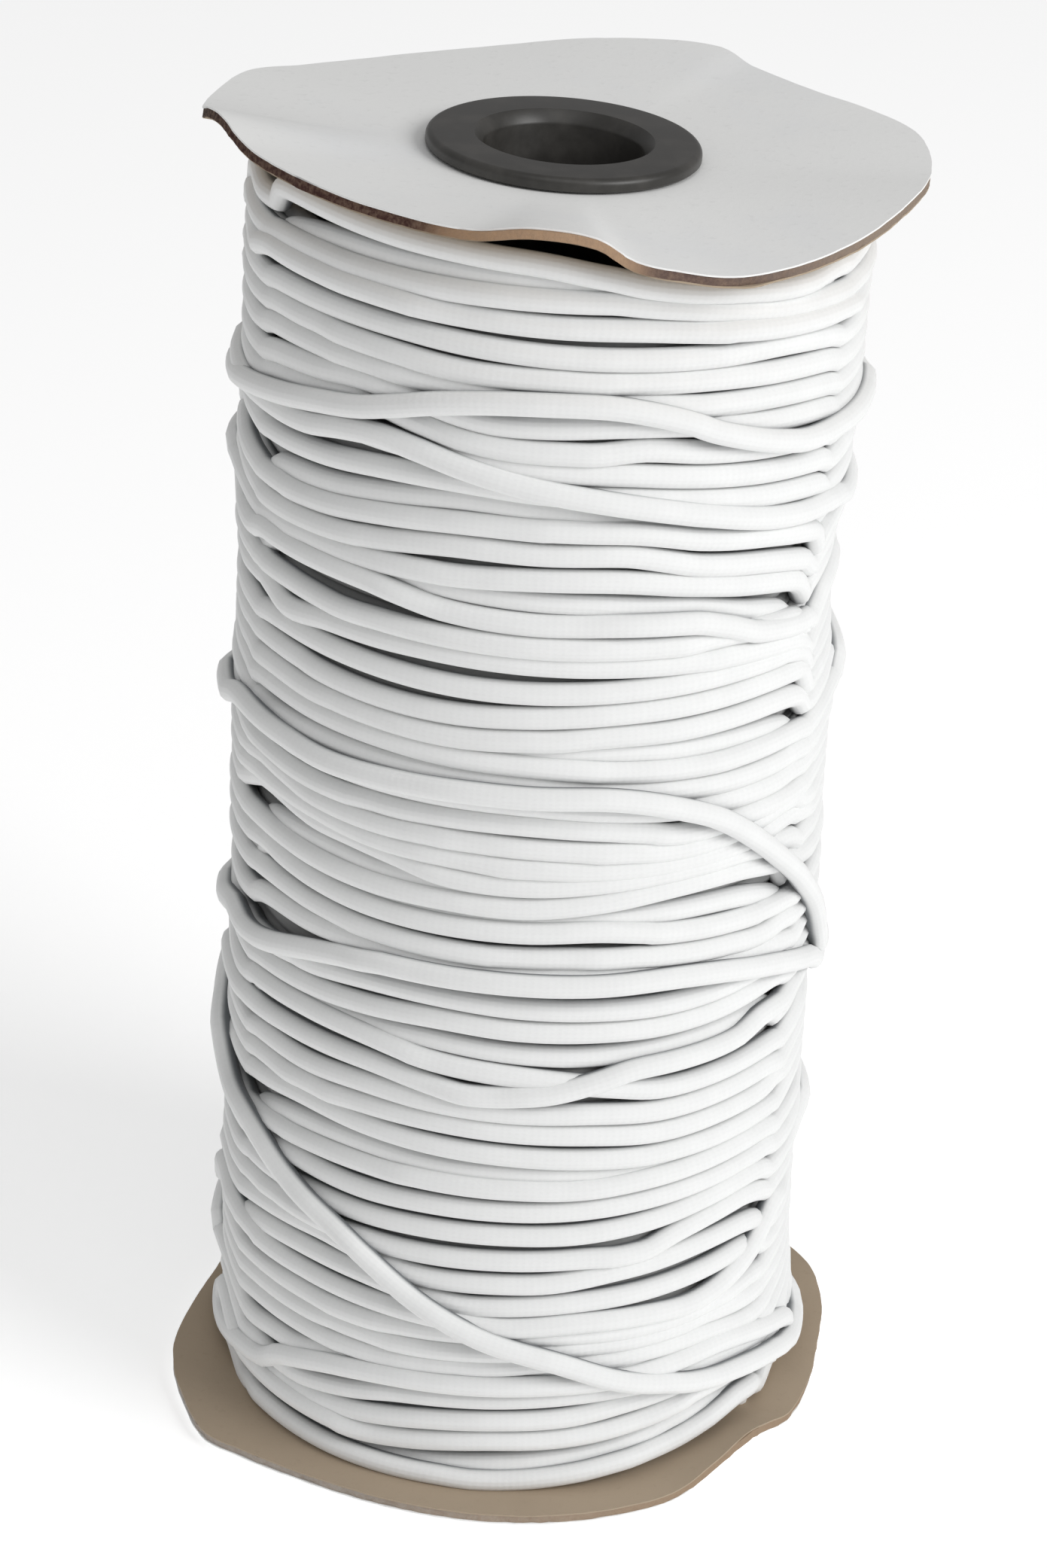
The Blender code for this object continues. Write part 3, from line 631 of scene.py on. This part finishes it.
def tube_rings(path, radius, sides):
    """Rings of points round a path of (angle, radius, height) rows in mm, in metres."""
    turn = np.radians(path[:, 0])
    centre = np.stack([path[:, 1] * np.sin(turn), -path[:, 1] * np.cos(turn),
                       path[:, 2]], 1)
    along = np.gradient(centre, axis=0)
    along /= np.linalg.norm(along, axis=1)[:, None]
    out = np.stack([np.sin(turn), -np.cos(turn), np.zeros_like(turn)], 1)
    out -= (out * along).sum(1)[:, None] * along
    out /= np.linalg.norm(out, axis=1)[:, None]
    across = np.cross(along, out)
    around = np.arange(sides) * 2 * pi / sides
    rings = (centre[:, None, :]
             + radius * (out[:, None, :] * np.cos(around)[None, :, None]
                         + across[:, None, :] * np.sin(around)[None, :, None]))
    run = np.concatenate([[0], np.cumsum(np.linalg.norm(np.diff(centre, axis=0), axis=1))])
    return rings * MM, run


def cord_piece(name, paths, radius, sides):
    """One mesh of closed tubes along the paths, its UV map in mm along and turns round."""
    points, faces, uvs = [], [], []
    start = 0
    for path in paths:
        rings, run = tube_rings(path, radius, sides)
        count = len(rings)
        points.append(rings.reshape(-1, 3))
        i, k = np.meshgrid(np.arange(count - 1), np.arange(sides), indexing="ij")
        i, k = i.ravel(), k.ravel()
        beyond = (k + 1) % sides
        corners = np.stack([i * sides + k, i * sides + beyond, (i + 1) * sides + beyond,
                            (i + 1) * sides + k], 1) + start
        faces += corners.tolist()
        u0, u1 = run[i], run[i + 1]
        v0, v1 = k / sides, (k + 1) / sides
        uvs.append(np.stack([u0, v0, u0, v1, u1, v1, u1, v0], 1).reshape(-1, 2))
        first = list(range(start, start + sides))
        last = [corner + (count - 1) * sides for corner in first]
        faces += [first[::-1], last]
        uvs.append(np.tile([[run[0], 0.5]], (sides, 1)))
        uvs.append(np.tile([[run[-1], 0.5]], (sides, 1)))
        start += count * sides
    mesh = bpy.data.meshes.new(name)
    mesh.from_pydata(np.concatenate(points).tolist(), [], faces)
    layer = mesh.uv_layers.new(name="cord")
    layer.data.foreach_set("uv", np.concatenate(uvs).astype(np.float32).ravel())
    mesh.shade_smooth()
    thing = bpy.data.objects.new(name, mesh)
    bpy.context.scene.collection.objects.link(thing)
    return thing


# Materials

class Nodes:
    """Short ways to add and join the nodes of one material."""

    def __init__(self, name):
        self.material = bpy.data.materials.new(name)
        self.material.use_nodes = True
        self.tree = self.material.node_tree
        self.shader = self.tree.nodes["Principled BSDF"]

    def add(self, kind, **settings):
        node = self.tree.nodes.new("ShaderNode" + kind)
        for key, value in settings.items():
            setattr(node, key, value)
        return node

    def join(self, source, target):
        self.tree.links.new(source, target)

    def put(self, socket, value):
        if isinstance(value, bpy.types.NodeSocket):
            self.join(value, socket)
        else:
            socket.default_value = value

    def math(self, operation, first, second=0.0, clamp=False):
        node = self.add("Math", operation=operation, use_clamp=clamp)
        self.put(node.inputs[0], first)
        self.put(node.inputs[1], second)
        return node.outputs[0]

    def noise(self, vector, scale, detail=4.0, roughness=0.5):
        node = self.add("TexNoise")
        self.join(vector, node.inputs["Vector"])
        node.inputs["Scale"].default_value = scale
        node.inputs["Detail"].default_value = detail
        node.inputs["Roughness"].default_value = roughness
        return node.outputs["Fac"]

    def ramp(self, source, stops, smooth=True):
        """A colour ramp from (place, colour) stops."""
        node = self.add("ValToRGB")
        ramp = node.color_ramp
        ramp.interpolation = "EASE" if smooth else "LINEAR"
        while len(ramp.elements) < len(stops):
            ramp.elements.new(0.5)
        for element, (at, colour) in zip(ramp.elements, stops):
            element.position = at
            element.color = colour
        self.join(source, node.inputs["Fac"])
        return node.outputs["Color"]

    def mix(self, amount, first, second, blend="MIX"):
        node = self.add("Mix", data_type="RGBA", blend_type=blend)
        self.put(node.inputs[0], amount)
        self.put(node.inputs[6], first)
        self.put(node.inputs[7], second)
        return node.outputs[2]

    def bump(self, height, strength, distance):
        node = self.add("Bump")
        node.inputs["Strength"].default_value = strength
        node.inputs["Distance"].default_value = distance
        self.join(height, node.inputs["Height"])
        self.join(node.outputs["Normal"], self.shader.inputs["Normal"])


def grey(value):
    return (value, value, value, 1.0)


def cord_material(name, colour, painted_shade_colour):
    """White braided elastic: a fine diagonal braid that follows the cord, with painted shade
    on its flanks and inner side, deep between the turns.
    """
    n = Nodes(name)
    uv = n.add("UVMap", uv_map="cord").outputs["UV"]
    split = n.add("SeparateXYZ")
    n.join(uv, split.inputs[0])
    along, around = split.outputs["X"], split.outputs["Y"]
    turned = n.math("MULTIPLY", along, 2 * pi / 1.9)
    wound = n.math("MULTIPLY", around, 2 * pi * 8)
    one_way = n.math("SINE", n.math("ADD", turned, wound))
    other_way = n.math("SINE", n.math("SUBTRACT", turned, wound))
    braid = n.math("MULTIPLY", one_way, other_way)
    place_at = n.add("TexCoord").outputs["Object"]
    patch = n.noise(place_at, 260.0, 3.0)
    grain = n.noise(place_at, 2600.0, 2.0)
    away = n.math("ABSOLUTE", n.math("SUBTRACT", around, 0.5))
    inward = n.math("MULTIPLY", n.math("SUBTRACT", 0.5, away), 2.0)
    # Painted shade: the cord's flanks and inner side darken towards the deep colour, where
    # the neighbouring turns shade them.
    deep = n.ramp(inward, [(0.40, grey(0.0)), (0.62, grey(1.0))])
    tint = n.mix(patch, colour, tuple(c * 0.93 for c in colour[:3]) + (1.0,))
    tint = n.mix(n.math("MULTIPLY", braid, 0.05, True), tint, grey(0.5))
    tint = n.mix(deep, tint, painted_shade_colour)
    n.join(tint, n.shader.inputs["Base Color"])
    n.shader.inputs["Roughness"].default_value = 0.72
    n.shader.inputs["Specular IOR Level"].default_value = 0.3
    n.shader.inputs["Sheen Weight"].default_value = 0.15
    height = n.math("ADD", n.math("MULTIPLY", braid, 0.5), n.math("MULTIPLY", grain, 0.6))
    n.bump(height, 0.35, 0.00007)
    return n.material


def card_material(name, colour, stain, grain_scale=900.0, stain_amount=0.25):
    """Card: fibres, faint stains and a slightly uneven face."""
    n = Nodes(name)
    at = n.add("TexCoord").outputs["Object"]
    fibre = n.noise(at, grain_scale, 5.0, 0.65)
    cloud = n.noise(at, 42.0, 4.0, 0.55)
    blotch = n.ramp(cloud, [(0.45, grey(0.0)), (0.78, grey(1.0))])
    tint = n.mix(n.math("MULTIPLY", blotch, stain_amount), colour, stain)
    dark = tuple(c * 0.8 for c in colour[:3]) + (1.0,)
    flecks = n.ramp(fibre, [(0.55, grey(0.0)), (0.75, grey(1.0))])
    tint = n.mix(n.math("MULTIPLY", flecks, 0.35), tint, dark)
    n.join(tint, n.shader.inputs["Base Color"])
    n.shader.inputs["Roughness"].default_value = 0.8
    n.shader.inputs["Specular IOR Level"].default_value = 0.25
    n.bump(fibre, 0.3, 0.00012)
    return n.material


def edge_material(name, table):
    """Cut card edge whose colour changes round the rim, from (angle, colour) rows: its own
    brown with painted shade, darkest at the left.
    """
    n = Nodes(name)
    at = n.add("TexCoord").outputs["Object"]
    split = n.add("SeparateXYZ")
    n.join(at, split.inputs[0])
    back = n.math("MULTIPLY", split.outputs["Y"], -1.0)
    turn = n.math("ARCTAN2", split.outputs["X"], back)
    share = n.math("ADD", n.math("DIVIDE", turn, 2 * pi), 0.5)
    # Painted shade round the rim: the ramp darkens the edge where it faces away from the key
    # light.
    stops = [((angle + 180) / 360, colour) for angle, colour in table]
    tint = n.ramp(share, stops)
    fibre = n.noise(at, 1500.0, 5.0, 0.7)
    streak = n.ramp(fibre, [(0.35, grey(0.0)), (0.7, grey(1.0))])
    tint = n.mix(n.math("MULTIPLY", streak, 0.45), tint, (0.30, 0.21, 0.15, 1.0))
    n.join(tint, n.shader.inputs["Base Color"])
    n.shader.inputs["Roughness"].default_value = 0.9
    n.shader.inputs["Specular IOR Level"].default_value = 0.15
    n.bump(fibre, 0.7, 0.0003)
    return n.material


def plastic_material(name, colour):
    """Black moulded plastic, a little dusty and scuffed."""
    n = Nodes(name)
    at = n.add("TexCoord").outputs["Object"]
    cloud = n.noise(at, 160.0, 5.0, 0.6)
    grain = n.noise(at, 2600.0, 3.0, 0.6)
    worn = tuple(min(c * 1.7 + 0.006, 1.0) for c in colour[:3]) + (1.0,)
    tint = n.mix(n.ramp(cloud, [(0.4, grey(0.0)), (0.75, grey(1.0))]), colour, worn)
    n.join(tint, n.shader.inputs["Base Color"])
    rough = n.add("MapRange")
    n.join(cloud, rough.inputs["Value"])
    rough.inputs["To Min"].default_value = 0.3
    rough.inputs["To Max"].default_value = 0.5
    n.join(rough.outputs["Result"], n.shader.inputs["Roughness"])
    n.bump(grain, 0.12, 0.00004)
    return n.material


def floor_material(name, colour, glow):
    n = Nodes(name)
    at = n.add("TexCoord").outputs["Object"]
    cloud = n.noise(at, 1.5, 3.0)
    tint = n.mix(cloud, colour, tuple(c * 0.985 for c in colour[:3]) + (1.0,))
    n.join(tint, n.shader.inputs["Base Color"])
    n.shader.inputs["Roughness"].default_value = 0.9
    n.shader.inputs["Emission Color"].default_value = (1.0, 1.0, 1.0, 1.0)
    n.shader.inputs["Emission Strength"].default_value = glow
    return n.material


# Modelling by operators

def start_clean():
    if bpy.context.object and bpy.context.object.mode != "OBJECT":
        bpy.ops.object.mode_set(mode="OBJECT")
    bpy.ops.object.select_all(action="DESELECT")


def name_new(name):
    thing = bpy.context.object
    thing.name = name
    thing.data.name = name
    return thing


def apply_modifiers(thing):
    bpy.context.view_layer.objects.active = thing
    for modifier in list(thing.modifiers):
        bpy.ops.object.modifier_apply(modifier=modifier.name)


def give(thing, material, slot, *nodes):
    """Its material, its body and the nodes it stands for; its slot is not used."""
    thing.data.materials.clear()
    thing.data.materials.append(material)
    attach(thing, "root")
    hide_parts(*nodes)
    return thing


def extrude_rings(profile, sides):
    """A ring drawn from each (radius, height) in mm to the next, in edit mode."""
    radius, height = profile[0]
    bpy.ops.mesh.primitive_circle_add(
        vertices=sides, radius=radius * MM, fill_type="NOTHING",
        location=(0, 0, height * MM))
    bpy.ops.object.transform_apply(location=True, rotation=False, scale=False)
    bpy.ops.object.mode_set(mode="EDIT")
    bpy.ops.mesh.select_mode(type="EDGE")
    bpy.ops.mesh.select_all(action="SELECT")
    for wider, higher in profile[1:]:
        bpy.ops.mesh.extrude_region_move(
            TRANSFORM_OT_translate={"value": (0, 0, (higher - height) * MM)})
        ratio = wider / radius
        bpy.ops.transform.resize(value=(ratio, ratio, 1.0), center_override=(0, 0, 0))
        radius, height = wider, higher


def close_rings():
    """Joins a last ring that lies on the first, and turns the faces outwards."""
    bpy.ops.mesh.select_all(action="SELECT")
    bpy.ops.mesh.remove_doubles(threshold=0.000002)
    bpy.ops.mesh.normals_make_consistent(inside=False)
    bpy.ops.object.mode_set(mode="OBJECT")


def rounded_lip():
    """Lip profile as (radius, depth below its face), from the bore edge to its back."""
    points = [(BORE_RADIUS + BORE_CHAMFER, 0.0)]
    for angle in range(90, -1, -10):
        points.append((
            LIP_RADIUS - LIP_ROUND + LIP_ROUND * cos(radians(angle)),
            LIP_ROUND * (1.0 - sin(radians(angle))),
        ))
    points.append((LIP_RADIUS, LIP_THICKNESS - 0.2))
    points.append((LIP_RADIUS - 0.2, LIP_THICKNESS))
    return points


def core_profile(neck_radius, neck_end):
    """Whole closed section of a lipped tube, as (radius, depth below its lip's face)."""
    lip = rounded_lip()
    return lip + [
        (neck_radius + 0.4, LIP_THICKNESS),
        (neck_radius, LIP_THICKNESS + 0.4),
        (neck_radius, neck_end),
        (BORE_RADIUS, neck_end),
        (BORE_RADIUS, BORE_CHAMFER + 0.35),
        (BORE_RADIUS + 0.12, BORE_CHAMFER),
        (BORE_RADIUS + BORE_CHAMFER - 0.12, 0.1),
        lip[0],
    ]


def card_ply(name, flange, depth, thickness, reach_at, steps=240):
    """One ply of a card disc: rings drawn out, set to the rim, then thickened."""
    start_clean()
    shares = (0.0, 0.12, 0.25, 0.38, 0.5, 0.61, 0.71, 0.8, 0.87, 0.92, 0.96, 0.985, 1.0)
    flat_reach = 2 * CARD_HOLE_RADIUS
    profile = [(CARD_HOLE_RADIUS + share * (flat_reach - CARD_HOLE_RADIUS), 0.0)
               for share in shares]
    extrude_rings(profile, steps)
    bpy.ops.mesh.select_all(action="SELECT")
    bpy.ops.mesh.normals_make_consistent(inside=False)
    bpy.ops.object.mode_set(mode="OBJECT")
    thing = name_new(name)
    for vertex in thing.data.vertices:
        x, y, _ = vertex.co
        angle = degrees(atan2(x, -y))
        share = (hypot(x, y) / MM - CARD_HOLE_RADIUS) / (flat_reach - CARD_HOLE_RADIUS)
        reach = reach_at(angle)
        radius = CARD_HOLE_RADIUS + share * (reach - CARD_HOLE_RADIUS)
        within = min(radius, flange.reach(angle))
        height = flange.height(angle, within) - depth
        vertex.co = Vector(place(radius, angle, height)) * MM
    facing = thing.data.polygons[0].normal.z
    solid = thing.modifiers.new("ply", "SOLIDIFY")
    solid.thickness = thickness * MM
    solid.offset = -1.0 if facing > 0 else 1.0
    apply_modifiers(thing)
    thing.data.update()
    bpy.ops.object.mode_set(mode="EDIT")
    bpy.ops.mesh.select_all(action="SELECT")
    bpy.ops.mesh.normals_make_consistent(inside=False)
    bpy.ops.object.mode_set(mode="OBJECT")
    bpy.ops.object.shade_smooth_by_angle(angle=radians(40))
    return thing


def ragged(seed, amount, fineness):
    """A function of the angle that wanders in and out by about this many mm."""
    def value(angle):
        turn = radians(angle)
        at = Vector((cos(turn) * fineness, sin(turn) * fineness, seed * 7.3))
        coarse, middle, fine = (noise.noise(at * finer) for finer in (1.0, 2.3, 5.1))
        return amount * (coarse + 0.5 * middle + 0.25 * fine)
    return value


def hump(angle, centre, width):
    """1 at the centre, a half at the width and falling fast beyond it, in degrees."""
    turn = (angle - centre + 180) % 360 - 180
    return 1 / (1 + (turn / width) ** 4)


# What a user may change

class SPOOL_PG_cord(bpy.types.PropertyGroup):
    radius: bpy.props.FloatProperty(
        name="Cord radius", description="Half the thickness of the elastic cord",
        default=1.525 * MM, min=0.0005, max=0.004, unit="LENGTH", precision=4)
    colour: bpy.props.FloatVectorProperty(
        name="Cord colour", description="Colour of the yarn on the outside",
        default=(0.86, 0.865, 0.86, 1.0), size=4, min=0, max=1, subtype="COLOR")
    # Painted shade: the colour that the cord's flanks take deep between the turns, in place
    # of the shade that falls there.
    painted_shade_colour: bpy.props.FloatVectorProperty(
        name="Deep colour", description="Colour of the yarn deep between the turns",
        default=(0.16, 0.17, 0.18, 1.0), size=4, min=0, max=1, subtype="COLOR")
    inner_turns: bpy.props.IntProperty(
        name="Inner turns", description="Turns in the layer beneath the outer one",
        default=57, min=10, max=80)


class SPOOL_PG_card(bpy.types.PropertyGroup):
    thickness: bpy.props.FloatProperty(
        name="Card thickness", description="Thickness of each flange",
        default=CARD_THICKNESS * MM, min=0.0005, max=0.003, unit="LENGTH", precision=4)
    white: bpy.props.FloatVectorProperty(
        name="White face", description="Colour of the printed white face",
        default=(0.87, 0.87, 0.86, 1.0), size=4, min=0, max=1, subtype="COLOR")
    kraft: bpy.props.FloatVectorProperty(
        name="Kraft face", description="Colour of the brown inner face",
        default=(0.40, 0.32, 0.235, 1.0), size=4, min=0, max=1, subtype="COLOR")


class SPOOL_PG_core(bpy.types.PropertyGroup):
    colour: bpy.props.FloatVectorProperty(
        name="Core colour", description="Colour of the moulded plastic core",
        default=(0.032, 0.030, 0.027, 1.0), size=4, min=0, max=1, subtype="COLOR")
    sides: bpy.props.IntProperty(
        name="Core sides", description="Steps round the core", default=128, min=32, max=256)


class SPOOL_PG_stage(bpy.types.PropertyGroup):
    floor_colour: bpy.props.FloatVectorProperty(
        name="Floor colour", description="Colour of the plain floor",
        default=(0.9, 0.9, 0.9, 1.0), size=4, min=0, max=1, subtype="COLOR")
    key_power: bpy.props.FloatProperty(
        name="Key light", description="Power of the soft light at the right",
        default=9.0, min=0, subtype="POWER")
    fill_power: bpy.props.FloatProperty(
        name="Fill light", description="Power of the soft light above",
        default=3.0, min=0, subtype="POWER")


class SPOOL_OT_cord(bpy.types.Operator):
    """Lays the outer turns of the cord, with the strands that cross them"""
    bl_idname = "spool.cord"
    bl_label = "Outer Cord"

    def execute(self, context):
        settings = context.scene.spool_cord
        radius = settings.radius / MM
        winding = Winding(radius)
        winding.lay()
        paths = [winding.path(run, closed) for run, closed in winding.runs()]
        material = cord_material("white braid", settings.colour, settings.painted_shade_colour)
        batches, batch, rings = [], [], 0
        for path in paths:
            while len(path) > 1:
                room = RINGS_A_PIECE - rings
                batch.append(path[:room + 1])
                rings += len(batch[-1])
                path = path[room:]
                if rings >= RINGS_A_PIECE:
                    batches.append(batch)
                    batch, rings = [], 0
        if batch:
            batches.append(batch)
        for number, batch in enumerate(batches):
            cord = cord_piece(f"cord_outer_{number + 1}", batch, radius, CORD_SIDES)
            give(cord, material, "cord", "winding")
        return {"FINISHED"}


class SPOOL_OT_inner_cord(bpy.types.Operator):
    """Lays the plain turns beneath the outer ones, seen through their gaps"""
    bl_idname = "spool.inner_cord"
    bl_label = "Inner Cord"

    def execute(self, context):
        settings = context.scene.spool_cord
        radius = settings.radius / MM
        steps = int(settings.inner_turns * 360 / INNER_STEP)
        angles = np.arange(steps + 1) * INNER_STEP - 180.0
        rise = INNER_HIGHEST - INNER_LOWEST
        heights = INNER_LOWEST + rise * np.arange(steps + 1) / steps
        radii = WOUND_RADIUS - INNER_DEPTH * radius + swelling(angles, heights)
        path = np.stack([angles, radii, heights], 1)
        cord = cord_piece("cord_inner", [path], radius, INNER_SIDES)
        # Painted shade: the inner turns are the same white cord at half its colour, darkened
        # for lying deep under the outer turns.
        material = cord_material(
            "shaded braid",
            tuple(0.5 * c for c in settings.colour[:3]) + (1.0,), settings.painted_shade_colour)
        give(cord, material, "cord", "winding")
        return {"FINISHED"}


class SPOOL_OT_cards(bpy.types.Operator):
    """Makes the two card flanges, each of plies with a worn rim"""
    bl_idname = "spool.cards"
    bl_label = "Card Flanges"

    def execute(self, context):
        settings = context.scene.spool_card
        thick = settings.thickness / MM
        white = card_material("white card", settings.white, (0.74, 0.76, 0.80, 1.0))
        kraft = card_material("kraft card", settings.kraft, (0.32, 0.25, 0.18, 1.0))
        upper_edge = edge_material("upper card edge", UPPER_EDGE_COLOUR_AND_SHADE)
        lower_edge = edge_material("lower card edge", LOWER_EDGE_COLOUR_AND_SHADE)
        for name, flange, face, edge, back, node, frays in (
            ("upper", UPPER_FLANGE, white, upper_edge, kraft, "flange_top", UPPER_FRAYS),
            ("lower", LOWER_FLANGE, kraft, lower_edge, white, "flange_bottom", LOWER_FRAYS),
        ):
            plies = (
                ("face", 0.0, 0.22, 0.10, 14, face, 0.0),
                ("middle", 0.22, thick - 0.44, 0.22, 40, edge, 0.12),
                ("back", thick - 0.22, 0.22, 0.12, 18, back, 0.05),
            )
            for number, ply in enumerate(plies):
                part, depth, deep, amount, fine, material, inset = ply
                wander = ragged(number + len(name), amount, fine)

                def reach_at(angle, wander=wander, inset=inset, part=part):
                    reach = flange.reach(angle) - inset + wander(angle)
                    for centre, width, out, which in frays:
                        if which == part:
                            reach += out * hump(angle, centre, width)
                    return reach

                card = card_ply(f"card_{name}_{part}", flange, depth, deep, reach_at)
                give(card, material, "card", node)
        return {"FINISHED"}


class SPOOL_OT_core(bpy.types.Operator):
    """Turns the lipped tube of the core and the leaning lipped cap over it"""
    bl_idname = "spool.core"
    bl_label = "Plastic Core"

    def execute(self, context):
        settings = context.scene.spool_core
        material = plastic_material("black plastic", settings.colour)
        spigot_end = SPOOL_HEIGHT - LIP_THICKNESS - SPIGOT_LENGTH
        lowest = spigot_end - SPIGOT_RADIUS * sin(radians(CAP_LEAN))
        start_clean()
        extrude_rings(core_profile(TUBE_RADIUS, lowest - PIECE_GAP), settings.sides)
        close_rings()
        tube = name_new("core_tube_shown")
        bpy.ops.object.shade_smooth_by_angle(angle=radians(35))
        give(tube, material, "core", "core_tube")
        start_clean()
        depths = core_profile(SPIGOT_RADIUS, LIP_THICKNESS + SPIGOT_LENGTH)
        extrude_rings([(radius, SPOOL_HEIGHT - depth) for radius, depth in depths],
                      settings.sides)
        close_rings()
        cap = name_new("core_cap_shown")
        pivot = Vector((0.0, 0.0, SPOOL_HEIGHT * MM))
        axis = Vector(place(1.0, CAP_LEANS_TOWARDS + 90.0, 0.0))
        lean = Matrix.Rotation(radians(CAP_LEAN), 4, axis)
        cap.data.transform(Matrix.Translation(pivot) @ lean @ Matrix.Translation(-pivot))
        bpy.ops.object.shade_smooth_by_angle(angle=radians(35))
        give(cap, material, "core", "core_cap")
        return {"FINISHED"}


class SPOOL_OT_stage(bpy.types.Operator):
    """Makes the plain floor, the soft lights, the sky and the camera"""
    bl_idname = "spool.stage"
    bl_label = "Stage"

    def execute(self, context):
        settings = context.scene.spool_stage
        start_clean()
        bpy.ops.mesh.primitive_grid_add(x_subdivisions=8, y_subdivisions=8, size=8.0)
        floor = name_new("floor")
        floor.data.materials.append(
            floor_material("pale floor", settings.floor_colour, 0.42))
        aim = Vector((0.0, 0.0, 0.09))
        for name, power, size, where in (
            ("key", settings.key_power, 0.7, (0.95, -0.55, 0.85)),
            ("fill", settings.fill_power, 1.2, (0.1, -0.6, 1.5)),
        ):
            start_clean()
            bpy.ops.object.light_add(type="AREA", location=where)
            lamp = name_new(name)
            lamp.data.energy = power
            lamp.data.shape = "DISK"
            lamp.data.size = size
            lamp.rotation_euler = (aim - lamp.location).to_track_quat("-Z", "Y").to_euler()
        world = bpy.data.worlds.new("soft sky")
        context.scene.world = world
        world.use_nodes = True
        world.node_tree.nodes["Background"].inputs["Color"].default_value = (1, 1, 1, 1)
        world.node_tree.nodes["Background"].inputs["Strength"].default_value = 0.35
        start_clean()
        bpy.ops.object.camera_add()
        camera = name_new("camera")
        camera.data.lens = LENS
        camera.data.sensor_width = 36.0
        camera.data.clip_start = 0.01
        right, up, back = (Vector(v) for v in (CAMERA_RIGHT, CAMERA_UP, CAMERA_BACK))
        turned = Matrix((right, up, back)).transposed().to_4x4()
        turned.translation = Vector(CAMERA_PLACE) * MM
        camera.matrix_world = turned
        context.scene.camera = camera
        context.scene.view_settings.view_transform = "Standard"
        return {"FINISHED"}


class SPOOL_PT_panel(bpy.types.Panel):
    bl_idname = "SPOOL_PT_panel"
    bl_label = "Elastic Cord Spool"
    bl_space_type = "VIEW_3D"
    bl_region_type = "UI"
    bl_category = "Spool"

    def draw(self, context):
        layout = self.layout
        for settings, names in (
            (context.scene.spool_cord, ("radius", "colour", "painted_shade_colour", "inner_turns")),
            (context.scene.spool_card, ("thickness", "white", "kraft")),
            (context.scene.spool_core, ("colour", "sides")),
            (context.scene.spool_stage, ("floor_colour", "key_power", "fill_power")),
        ):
            for name in names:
                layout.prop(settings, name)
        for operator in OPERATORS:
            layout.operator(operator.bl_idname)


SETTINGS = (
    ("spool_cord", SPOOL_PG_cord),
    ("spool_card", SPOOL_PG_card),
    ("spool_core", SPOOL_PG_core),
    ("spool_stage", SPOOL_PG_stage),
)
OPERATORS = (SPOOL_OT_core, SPOOL_OT_cards, SPOOL_OT_inner_cord, SPOOL_OT_cord,
             SPOOL_OT_stage)
CLASSES = tuple(group for _, group in SETTINGS) + OPERATORS + (SPOOL_PT_panel,)


def register():
    for cls in CLASSES:
        bpy.utils.register_class(cls)
    for name, group in SETTINGS:
        setattr(bpy.types.Scene, name, bpy.props.PointerProperty(type=group))


def unregister():
    for name, _ in SETTINGS:
        delattr(bpy.types.Scene, name)
    for cls in reversed(CLASSES):
        bpy.utils.unregister_class(cls)


def main():
    register()
    bpy.ops.spool.core()
    bpy.ops.spool.cards()
    bpy.ops.spool.inner_cord()
    bpy.ops.spool.cord()
    bpy.ops.spool.stage()


if __name__ == "__main__":
    main()
